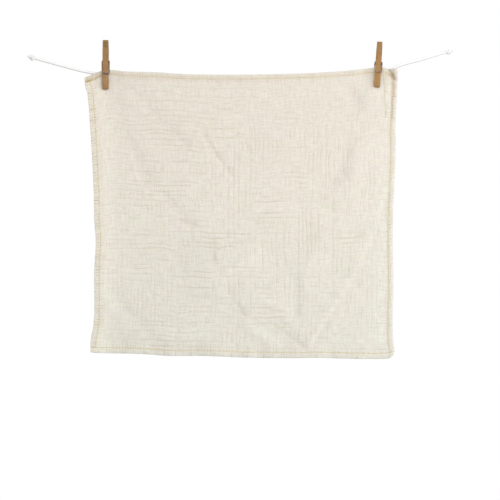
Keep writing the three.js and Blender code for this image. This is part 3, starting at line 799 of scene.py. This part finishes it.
def make_backtack():
    """The top row's first stitches, sewn over and over to hold its end."""
    rng = np.random.default_rng(9)
    top = HEM["top"] - STITCH_INSET
    tubes = []
    for i in range(11):
        start = 0.6 + 0.75 * i + rng.uniform(-0.2, 0.2)
        low, high = top + rng.uniform(-0.9, 1.0, 2)
        place = np.linspace((start, low), (start + 3.6, high), 6)
        route = surface(place[:, 0], place[:, 1])
        route[:, 1] -= 0.3 + 0.12 * (i % 3) + 0.15 * np.sin(np.linspace(0, math.pi, 6))
        tubes.append(cord_tube(route, THREAD))
    return cord_object("hem_backtack", tubes)


stitching = make_stitching()
backtack = make_backtack()

# ---- flecks ----

# Bits of cotton husk caught in the weave, as (x, z, length).
FLECKS = [
    (-178, -55, 1.5), (-161, -18, 1.1), (51, -25, 1.0), (105, -115, 1.5), (-35, -211, 1.2),
    (118, -220, 1.4), (-76, -346, 1.2), (-117, -367, 1.0), (202, -301, 1.2), (-9, -88, 0.8),
    (160, -362, 0.9),
]


def surface_at(x, z):
    """The point of the cloth's front at an x and z of the layout, found step by step."""
    a, b = x - TOP_EDGE[0][0], TOP_EDGE[0][1] - z
    for _ in range(8):
        found = surface(np.array([a]), np.array([b]))[0]
        a += x - found[0]
        b -= z - found[2]
    return found


def make_flecks():
    rng = np.random.default_rng(8)
    ball = bmesh.new()
    bmesh.ops.create_icosphere(ball, subdivisions=2, radius=0.5)
    round_points = np.array([v.co for v in ball.verts])
    faces = [tuple(v.index for v in face.verts) for face in ball.faces]
    ball.free()
    flakes = []
    for x, z, length in FLECKS:
        turn = rng.uniform(0, math.pi)
        wide, thick, deep = (round_points * [length, 0.35, 0.55 * length]).T
        flake = np.stack([
            wide * math.cos(turn) - deep * math.sin(turn),
            thick,
            wide * math.sin(turn) + deep * math.cos(turn),
        ], axis=1)
        flakes.append((flake + surface_at(x, z), faces))
    return joined("husk_flecks", flakes)


flecks = make_flecks()

# ---- pegs ----

TIP_ROUND = 1.9  # height of the tip's eased corners
TIP_LOSS = 0.24  # of its width that they take off
EDGE_ROUND = 0.5
SHARP_EDGE = math.radians(32)  # turns that are rounded, from this angle on
WIRE_STEP = 0.5


def peg_to_frame(peg):
    """From a peg's own millimetres (tip at 0, cloth's middle at y = 0) to the part's frame."""
    layout = Matrix.Scale(MM, 4) @ Matrix.Translation([-float(c) for c in LINE_ROUTE[0]])
    place = Matrix.Translation((peg["x"], 0, peg["z"]))
    lean = Matrix.Rotation(-math.radians(peg["lean"]), 4, "X")
    tilt = Matrix.Rotation(math.radians(peg["tilt"]), 4, "Y")
    return layout @ (place @ lean @ tilt @ Matrix.Translation((0, 0, -NOTCH_HEIGHT)))


def make_lever(peg, facing):
    """A lever from its CAD solid, with its tip rounded in and its edges eased."""
    node = f"{peg['name']}_{facing}"
    own = peg_to_frame(peg)
    shape = bmesh.new()
    shape.from_mesh(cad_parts[node].data)
    shape.transform(own.inverted())
    bmesh.ops.remove_doubles(shape, verts=shape.verts, dist=0.001)
    bmesh.ops.dissolve_limit(shape, angle_limit=math.radians(1), verts=shape.verts, edges=shape.edges)
    geometry = [*shape.verts, *shape.edges, *shape.faces]
    bmesh.ops.bisect_plane(shape, geom=geometry, plane_co=(0, 0, TIP_ROUND), plane_no=(0, 0, 1))
    for vert in shape.verts:
        vert.co.x *= 1 - TIP_LOSS * (1 - min(max(vert.co.z, 0) / TIP_ROUND, 1))
    sharp = [e for e in shape.edges if e.is_manifold and e.calc_face_angle() > SHARP_EDGE]
    bmesh.ops.bevel(
        shape, geom=sharp, offset=EDGE_ROUND, segments=2, affect="EDGES", clamp_overlap=True,
        profile=0.6,
    )
    raised = shape.verts.layers.float.new("raised")
    for vert in shape.verts:
        vert[raised] = vert.co.z / OUTER_TOP[1]
    shape.transform(own)
    mesh = bpy.data.meshes.new(f"{node}_wood")
    shape.to_mesh(mesh)
    shape.free()
    piece = link_object(f"{node}_wood", mesh)
    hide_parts(node)
    return piece


def arm_points(out, side, arm):
    """A spring arm across a lever's outer face, from its free end to its bend."""
    bend, free = arm
    return [
        (side * share * ARM_REACH, out, free + (bend - free) * (share + 1) / 2)
        for share in (-1, -0.5, 0, 0.5, 0.97)
    ]


def leg_points(start, end):
    """A spring's straight leg, from near the coil to near its bend."""
    return [tuple(mix(np.array(start), np.array(end), share)) for share in (0.35, 0.7, 0.94)]


def spring_points(arm):
    """The spring from the free end of its back arm, round the coil, to the free end of its front arm."""
    slope = (OUTER_TOP[0] - OUTER_LOW[0]) / (OUTER_TOP[1] - OUTER_LOW[1])
    face = OUTER_LOW[0] + (ARM_HEIGHT - OUTER_LOW[1]) * slope
    out = face - GROOVE_DEPTH + GAP + WIRE_DIAMETER / 2
    side = WAIST_WIDTH / 2 + GAP + WIRE_DIAMETER / 2 + 0.05
    bend = arm[0] + 0.8
    drop = SEAT_HEIGHT - bend
    leave = math.pi + math.atan2(drop, out) - math.acos(COIL_RADIUS / math.hypot(out, drop))
    first, last = math.pi - leave, leave + 2 * math.pi * COIL_TURNS
    coil = []
    for t in np.linspace(0, 1, COIL_TURNS * 24):
        angle = mix(first, last, t)
        sideways, up = COIL_RADIUS * math.cos(angle), COIL_RADIUS * math.sin(angle)
        coil.append((-side + 2 * side * t, sideways, SEAT_HEIGHT + up))
    front_leg = leg_points(coil[-1], (side, -out, bend))
    back_leg = leg_points(coil[0], (-side, out, bend))[::-1]
    return arm_points(out, -1, arm) + back_leg + coil + front_leg + arm_points(-out, 1, arm)[::-1]


def make_spring(peg):
    own = peg_to_frame(peg)
    route = smooth_route(spring_points(peg["arm"]), WIRE_STEP)
    curve = bpy.data.curves.new(f"{peg['name']}_wire", "CURVE")
    curve.dimensions = "3D"
    curve.bevel_depth = WIRE_DIAMETER / 2 * MM
    curve.bevel_resolution = 4
    curve.use_fill_caps = True
    spline = curve.splines.new("POLY")
    spline.points.add(len(route) - 1)
    for point, place in zip(spline.points, route):
        point.co = (*(own @ Vector(place)), 1)
    spline.use_smooth = True
    piece = link_object(f"{peg['name']}_wire", curve)
    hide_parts(f"{peg['name']}_spring")
    return piece


levers = [(peg, make_lever(peg, facing)) for peg in PEGS for facing in ("front", "back")]
springs = [make_spring(peg) for peg in PEGS]

# ---- materials ----

WHITE = (1, 1, 1, 1)
BLACK = (0, 0, 0, 1)


def fill(tree, socket, value):
    """Sets a node's input, or links another node's output to it."""
    if isinstance(value, bpy.types.NodeSocket):
        tree.links.new(value, socket)
    else:
        socket.default_value = value


def add(tree, kind, **values):
    """A node with its inputs and properties set by name."""
    node = tree.nodes.new(kind)
    for key, value in values.items():
        if key in node.inputs:
            fill(tree, node.inputs[key], value)
        else:
            setattr(node, key, value)
    return node


def linear(red, green, blue):
    """An 8-bit display colour as a linear one."""
    def one(value):
        value /= 255
        return value / 12.92 if value <= 0.04045 else ((value + 0.055) / 1.055) ** 2.4
    return (one(red), one(green), one(blue), 1.0)


class Look:
    """A material, built up node by node round its Principled shader."""

    def __init__(self, name):
        self.material = bpy.data.materials.new(name)
        self.material.use_nodes = True
        self.tree = self.material.node_tree
        self.shader = self.tree.nodes["Principled BSDF"]

    def finished(self, settings):
        """The material, with its shader's inputs filled."""
        for key, value in settings.items():
            fill(self.tree, self.shader.inputs[key], value)
        return self.material

    def noise(self, scale=(1, 1, 1), turn=(0, 0, 0), place=None, **settings):
        """Noise over the object's own metres, or over another place, scaled and turned."""
        if place is None:
            place = add(self.tree, "ShaderNodeTexCoord").outputs["Object"]
        mapping = add(self.tree, "ShaderNodeMapping", Vector=place, Scale=scale, Rotation=turn)
        settings = {"Scale": 1.0, "Vector": mapping.outputs["Vector"], **settings}
        return add(self.tree, "ShaderNodeTexNoise", **settings).outputs["Fac"]

    def attribute(self, name, output="Fac"):
        return add(self.tree, "ShaderNodeAttribute", attribute_name=name).outputs[output]

    def ramp(self, source, *stops):
        """A colour for each value of the source, from (value, colour) stops."""
        node = add(self.tree, "ShaderNodeValToRGB", Fac=source)
        band = node.color_ramp
        while len(band.elements) < len(stops):
            band.elements.new(0.5)
        for element, (position, colour) in zip(band.elements, stops):
            element.position = position
            element.color = colour
        return node.outputs["Color"]

    def blend(self, kind, factor, first, second):
        node = add(self.tree, "ShaderNodeMix", data_type="RGBA", blend_type=kind)
        sockets = {s.identifier: s for s in node.inputs}
        for key, value in (("Factor_Float", factor), ("A_Color", first), ("B_Color", second)):
            fill(self.tree, sockets[key], value)
        return next(s for s in node.outputs if s.identifier == "Result_Color")

    def multiply(self, first, second, share=1.0):
        return self.blend("MULTIPLY", share, first, second)

    def graded(self, tone, source, *stops, share=1.0):
        """The tone times a ramp over some other value."""
        return self.multiply(tone, self.ramp(source, *stops), share)

    def bumps(self, *layers):
        """Bumps over one another, each as (height, strength, distance)."""
        below = {}
        for height, strength, distance in layers:
            values = {"Height": height, "Strength": strength, "Distance": distance, **below}
            below["Normal"] = add(self.tree, "ShaderNodeBump", **values).outputs["Normal"]
        return below["Normal"]


MUSLIN_PALE = (0.715, 0.696, 0.635, 1)
MUSLIN_DEEP = (0.619, 0.6, 0.532, 1)
SLUB_TONES = (0.37, (0.93, 0.917, 0.9, 1)), (0.57, WHITE)
MOTTLE_TONES = (0.34, (0.95, 0.94, 0.93, 1)), (0.6, WHITE)
THREAD_TONES = (0.35, (1, 0.975, 0.995, 1)), (0.65, (0.982, 1, 0.968, 1))  # pinker and greener
# The painted shade in the hems' cross creases.
HEM_TICK_SHADE = (0.66, 0.57, 0.48, 1)


def muslin_material():
    look = Look("muslin")
    threads = look.attribute("threads", "Vector")

    def noise(across, down, detail):
        """Noise in the cloth's own measure, with so many cells a metre across and down it."""
        return look.noise((across, down, 1), place=threads, Detail=detail, Roughness=0.6)

    def wave(direction, scale, distortion):
        settings = {"Scale": scale, "Distortion": distortion, "Detail": 2.0, "Detail Scale": 1.6}
        texture = add(
            look.tree, "ShaderNodeTexWave", bands_direction=direction, Vector=threads, **settings
        )
        return texture.outputs["Fac"]

    # The open weave's threads, and slubs: long stretches of thicker or thinner thread, each way.
    weave = look.blend("LIGHTEN", 1.0, wave("X", 520.0, 2.2), wave("Y", 500.0, 2.2))
    slub_up, slub_level = noise(600, 55, 2.5), noise(55, 620, 2.5)
    mottle = noise(420, 420, 3.0)
    tone = look.ramp(weave, (0.0, MUSLIN_DEEP), (0.35, MUSLIN_PALE))
    tone = look.graded(tone, slub_up, *SLUB_TONES)
    tone = look.graded(tone, slub_level, *SLUB_TONES)
    tone = look.graded(tone, mottle, *MOTTLE_TONES)
    # Undyed cotton: some threads are pinker and some greener, each way.
    for texture in (noise(300, 20, 2.0), noise(20, 300, 2.0)):
        tone = look.graded(tone, texture, *THREAD_TONES)
    # The tint brings in the painted light and shade of the creases, hems, corners, hollows and swells.
    tone = look.multiply(tone, look.attribute("tint", "Vector"))
    # Short cross creases along the hems, drawn up by their stitching, and fainter in stretches: painted
    # shade along their lines, and bumps.
    ticks = []
    for name, direction, stretch in (("side_hem", "Y", (30, 90)), ("level_hem", "X", (90, 30))):
        share = look.attribute(name)
        lines = look.ramp(wave(direction, 78.0, 6.0), (0.0, BLACK), (0.3, WHITE))
        faint = look.ramp(noise(*stretch, 2.0), (0.36, BLACK), (0.6, (0.8, 0.8, 0.8, 1)))
        lines = look.blend("SCREEN", 1.0, lines, faint)
        ticked = look.graded(tone, lines, (0.0, HEM_TICK_SHADE), (1.0, WHITE))
        tone = look.blend("MIX", share, tone, ticked)
        ticks.append((look.multiply(lines, share), 0.35, 0.0004))
    slubs = look.blend("MIX", 0.5, slub_up, slub_level)
    # Gauze lets a little light through.
    through = add(look.tree, "ShaderNodeBsdfTranslucent", Color=tone)
    mixed = add(look.tree, "ShaderNodeMixShader", Fac=0.12)
    fill(look.tree, mixed.inputs[1], look.shader.outputs["BSDF"])
    fill(look.tree, mixed.inputs[2], through.outputs["BSDF"])
    fill(look.tree, look.tree.nodes["Material Output"].inputs["Surface"], mixed.outputs["Shader"])
    return look.finished({
        "Base Color": tone,
        "Normal": look.bumps(
            (weave, 0.35, 0.00025), (slubs, 0.5, 0.0012), (mottle, 0.3, 0.0004), *ticks
        ),
        "Roughness": 0.95,
        "Specular IOR Level": 0.15,
        "Sheen Weight": 0.15,
        "Sheen Roughness": 0.6,
    })


# Each peg's pale and dark grain, then its tone at heights up the lever as a share of the wood's own:
# height 0 is the tip of the jaw and 1 the handle's end.
WOODS = {
    "peg_left": (
        (0.337, 0.196, 0.085, 1), (0.211, 0.114, 0.045, 1), (0.3, WHITE), (0.6, (0.875, 0.83, 0.71, 1)),
    ),
    "peg_right": (
        (0.35, 0.202, 0.074, 1), (0.23, 0.123, 0.039, 1), (0.25, WHITE), (0.45, (0.93, 0.9, 0.89, 1)),
    ),
}
WOOD_PORES = (0.34, (0.62, 0.55, 0.48, 1)), (0.42, WHITE)
WOOD_WEAR = (0.35, (0.9, 0.88, 0.86, 1)), (0.6, WHITE)


def wood_material(peg):
    """Pale hardwood with its grain along the lever."""
    # The last two entries of WOODS darken the wood from about mid-lever up to the handle's end.
    pale, dark, *up_lever_tones = WOODS[peg["name"]]
    look = Look(f"{peg['name']}_wood")
    turn = (math.radians(peg["lean"]), -math.radians(peg["tilt"]), 0)
    grain = look.noise((620, 620, 28), turn, Detail=5.0, Roughness=0.65, Distortion=0.4)
    pores = look.noise((2600, 2600, 190), turn, Detail=2.0, Roughness=0.5)
    patches = look.noise((120, 120, 60), turn, Detail=2.0, Roughness=0.5)
    tone = look.ramp(grain, (0.3, dark), (0.55, pale), (0.8, pale))
    tone = look.graded(tone, pores, *WOOD_PORES, share=0.7)
    tone = look.graded(tone, patches, *WOOD_WEAR)
    return look.finished({
        "Base Color": look.graded(tone, look.attribute("raised"), *up_lever_tones),
        "Normal": look.bumps((grain, 0.3, 0.0002), (pores, 0.25, 0.0001)),
        "Roughness": 0.62,
        "Specular IOR Level": 0.3,
    })


def steel_material(name, deep, pale):
    look = Look(name)
    dulled = look.noise(Scale=900.0, Detail=4.0, Roughness=0.6)
    return look.finished({
        "Base Color": look.ramp(dulled, (0.35, deep), (0.65, pale)),
        "Roughness": look.ramp(dulled, (0.3, (0.5, 0.5, 0.5, 1)), (0.7, (0.32, 0.32, 0.32, 1))),
        "Normal": look.bumps((dulled, 0.15, 0.00005)),
        "Metallic": 0.9,
    })


CORD_DEEP = (0.74, 0.74, 0.74, 1)
CORD_PALE = (0.82, 0.82, 0.82, 1)
# Painted shade on the cord's underside.
CORD_UNDER_SHADE = (0.83, 0.82, 0.82, 1)  # what the greyed underside keeps of it


def cord_material():
    look = Look("cord")
    yarn = look.noise((700, 2200, 2200), (0, math.radians(24), 0), Detail=3.0, Roughness=0.6)
    tone = look.ramp(yarn, (0.3, CORD_DEEP), (0.7, CORD_PALE))
    # The underside's grey is painted shade.
    return look.finished({
        "Base Color": look.graded(tone, look.attribute("underside"), (0.0, WHITE), (0.4, CORD_UNDER_SHADE)),
        "Normal": look.bumps((yarn, 0.4, 0.0003)),
        "Roughness": 0.9,
        "Sheen Weight": 0.2,
        "Specular IOR Level": 0.2,
    })


def thread_material(name, deep, pale):
    look = Look(name)
    ply = look.noise(Scale=2600.0, Detail=2.0, Roughness=0.5)
    return look.finished({
        "Base Color": look.ramp(ply, (0.35, deep), (0.65, pale)),
        "Normal": look.bumps((ply, 0.3, 0.0001)),
        "Roughness": 0.5,
        "Sheen Weight": 0.3,
    })


def husk_material():
    look = Look("cotton_husk")
    grain = look.noise(Scale=3000.0, Detail=2.0)
    tone = look.ramp(grain, (0.35, linear(92, 70, 48)), (0.65, linear(136, 108, 78)))
    return look.finished({"Base Color": tone, "Roughness": 0.8})


def finish_piece(piece, material, smooth_angle=None):
    piece.data.materials.clear()
    piece.data.materials.append(material)
    if smooth_angle is not None:
        piece.data.polygons.foreach_set("use_smooth", [True] * len(piece.data.polygons))
        piece.data.set_sharp_from_angle(angle=math.radians(smooth_angle))
    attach(piece, "root")


finish_piece(cloth, muslin_material())
gold = thread_material("gold_thread", linear(200, 174, 114), linear(234, 220, 174))
finish_piece(stitching, gold)
# The backtack is the same gold thread, with painted shade in its darker, olive colour.
painted_shade_gold = thread_material("backtack_thread", linear(128, 112, 52), linear(206, 186, 128))
finish_piece(backtack, painted_shade_gold)
finish_piece(flecks, husk_material())
cord_look = cord_material()
for piece in (line, *knots):
    finish_piece(piece, cord_look)
woods = {peg["name"]: wood_material(peg) for peg in PEGS}
for peg, lever in levers:
    finish_piece(lever, woods[peg["name"]], smooth_angle=35)
# The two springs are the same steel: painted shade makes the left one darker and painted light the right
# one lighter.
steels = [
    steel_material("peg_left_steel", linear(86, 76, 66), linear(142, 134, 128)),
    steel_material("peg_right_steel", linear(112, 98, 86), linear(172, 158, 146)),
]
for spring, steel in zip(springs, steels):
    finish_piece(spring, steel)

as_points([tuple(p) for p in line_path[::3]] + [tuple(line_path[-1])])

# ---- stage ----

FLOOR_HALF, FLOOR_HEIGHT = 1.6, -1.2  # metres
WORLD_FRONT = 0.72  # strength of the surround in front of the cloth
WARM_WHITE = (1.0, 0.985, 0.965)


def make_stage():
    mesh = bpy.data.meshes.new("floor")
    corners = [(-1, -1), (1, -1), (1, 1), (-1, 1)]
    points = [(x * FLOOR_HALF, y * FLOOR_HALF, FLOOR_HEIGHT) for x, y in corners]
    mesh.from_pydata(points, [], [(0, 1, 2, 3)])
    settings = {"Base Color": (0.72, 0.72, 0.72, 1), "Roughness": 0.9}
    mesh.materials.append(Look("pale_floor").finished(settings))
    floor = link_object("floor", mesh)


def area_light(name, place, aim, size, power):
    data = bpy.data.lights.new(name, "AREA")
    data.shape = "DISK"
    data.size = size
    data.energy = power
    data.color = WARM_WHITE
    light = link_object(name, data)
    start, end = Vector(to_frame(place)), Vector(to_frame(aim))
    light.location = start
    light.rotation_euler = (end - start).to_track_quat("-Z", "Y").to_euler()


def make_world():
    """A white surround behind the cloth, a little dimmer all round in front of it."""
    world = bpy.data.worlds.new("studio")
    world.use_nodes = True
    tree = world.node_tree
    direction = add(tree, "ShaderNodeTexCoord").outputs["Generated"]
    split = add(tree, "ShaderNodeSeparateXYZ", Vector=direction)
    limits = {"From Min": 0.1, "From Max": 0.8, "To Min": WORLD_FRONT, "To Max": 1.0}
    grade = add(tree, "ShaderNodeMapRange", clamp=True, Value=split.outputs["Y"], **limits)
    background = tree.nodes["Background"].inputs
    fill(tree, background["Strength"], grade.outputs["Result"])
    fill(tree, background["Color"], WHITE)
    SCENE.world = world
    SCENE.view_settings.view_transform = "Standard"
    SCENE.view_settings.look = "None"


make_stage()
make_world()
area_light("key", (350, -1750, 420), (20, 0, -180), 1.2, 20.0)
area_light("side", (950, -700, -60), (100, 0, -200), 0.7, 3)
